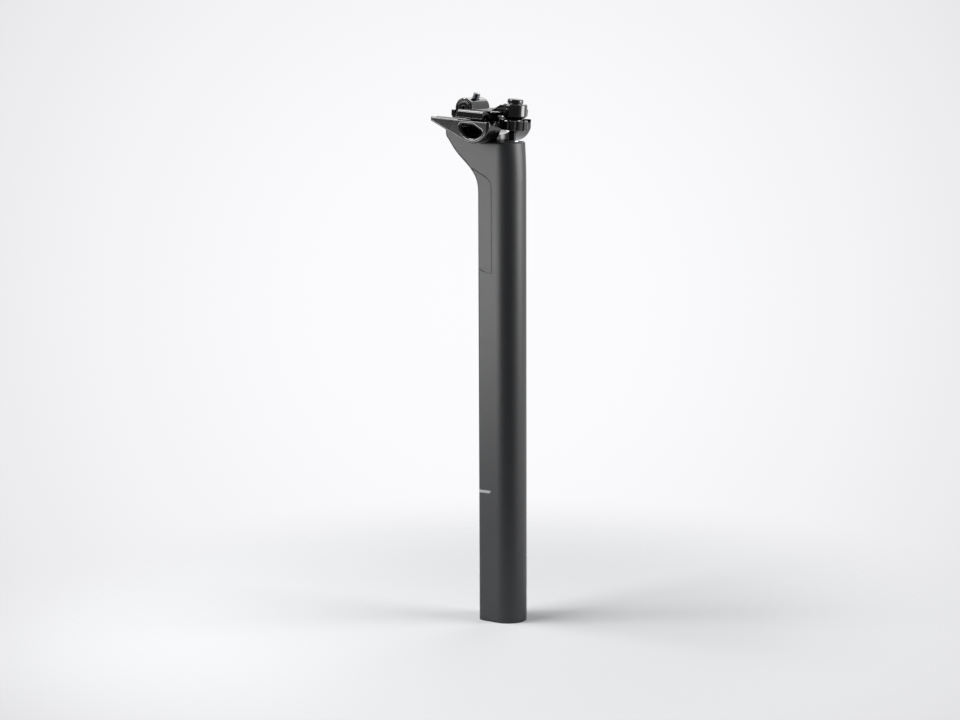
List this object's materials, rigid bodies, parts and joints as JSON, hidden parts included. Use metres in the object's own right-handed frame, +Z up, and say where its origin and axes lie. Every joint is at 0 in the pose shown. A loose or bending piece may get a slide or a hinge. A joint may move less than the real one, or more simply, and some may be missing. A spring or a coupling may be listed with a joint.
{
  "type": "bicycle seatpost",
  "caption": "D-shaped carbon bicycle seatpost with a set-back head, a saddle rail clamp that tilts in a round seat, a fluted adjusting wheel in front and a barrel nut behind",
  "frame": {"origin": "centre line of the round nose and flat sides, on the plane of the tube's open lower end", "axes": "+Z up the tube, +X forward as fitted in the frame, +Y to the rider's left"},
  "size_m": [0.0609, 0.0548, 0.3665],
  "materials": {
    "carbon": "matte lacquered carbon",
    "black_alloy": "gloss black anodised forging",
    "bare_alloy": "bare turned alloy",
    "steel": "zinc plated steel"
  },
  "bodies": {
    "post": {"post": "carbon", "front_insert": "bare_alloy", "insert_ring": "steel", "rear_seat_insert": "steel"},
    "clamp": {"lower_cradle": "black_alloy", "upper_clamp": "black_alloy"},
    "barrel_nut": {"rear_barrel_nut": "black_alloy"},
    "rear_bolt": {"rear_bolt": "steel", "rear_ball_washer": "steel"},
    "swivel_nut": {"ball_nut": "steel"},
    "washers": {"lower_ball_washer": "steel", "upper_ball_washer": "steel"},
    "adjuster": {"front_screw": "steel", "thumbwheel": "black_alloy", "front_cap": "black_alloy"}
  },
  "joints": [
    {"name": "clamp_tilt", "type": "hinge", "parent": "post", "child": "clamp", "pos_m": [-0.0087, 0, 0.3464], "axis": [0, 1, 0], "range_deg": [-5.1, 9.1]},
    {"name": "barrel_nut_turn", "type": "hinge", "parent": "clamp", "child": "barrel_nut", "pos_m": [-0.02666, 0, 0.35581], "axis": [0, 1, 0], "range_deg": [-8.1, 4.6]},
    {"name": "rear_bolt_swing", "type": "hinge", "parent": "post", "child": "rear_bolt", "pos_m": [-0.0347, 0, 0.336], "axis": [0, 1, 0], "range_deg": [-0.8, 1.3]},
    {"name": "swivel_nut_turn", "type": "hinge", "parent": "post", "child": "swivel_nut", "pos_m": [0.0054, 0, 0.326], "axis": [0, 1, 0], "range_deg": [-2.3, 4]},
    {"name": "screw_lift", "type": "slide", "parent": "swivel_nut", "child": "washers", "axis": [0.0993, 0, 0.9951], "range_m": [-0.0026, 0.00146]},
    {"name": "wheel_turn", "type": "hinge", "parent": "washers", "child": "adjuster", "pos_m": [0.00706, 0, 0.34263], "axis": [0.0993, 0, 0.9951], "range_deg": [-1161, 645]}
  ],
  "couplings": [
    {"joint": "clamp_tilt", "follows": "wheel_turn", "ratio": -0.0077542},
    {"joint": "barrel_nut_turn", "follows": "wheel_turn", "ratio": 0.0068028},
    {"joint": "rear_bolt_swing", "follows": "wheel_turn", "ratio": -0.00095144},
    {"joint": "swivel_nut_turn", "follows": "wheel_turn", "ratio": -0.0033452},
    {"joint": "screw_lift", "follows": "wheel_turn", "m_per_rad": 0.00012732}
  ]
}
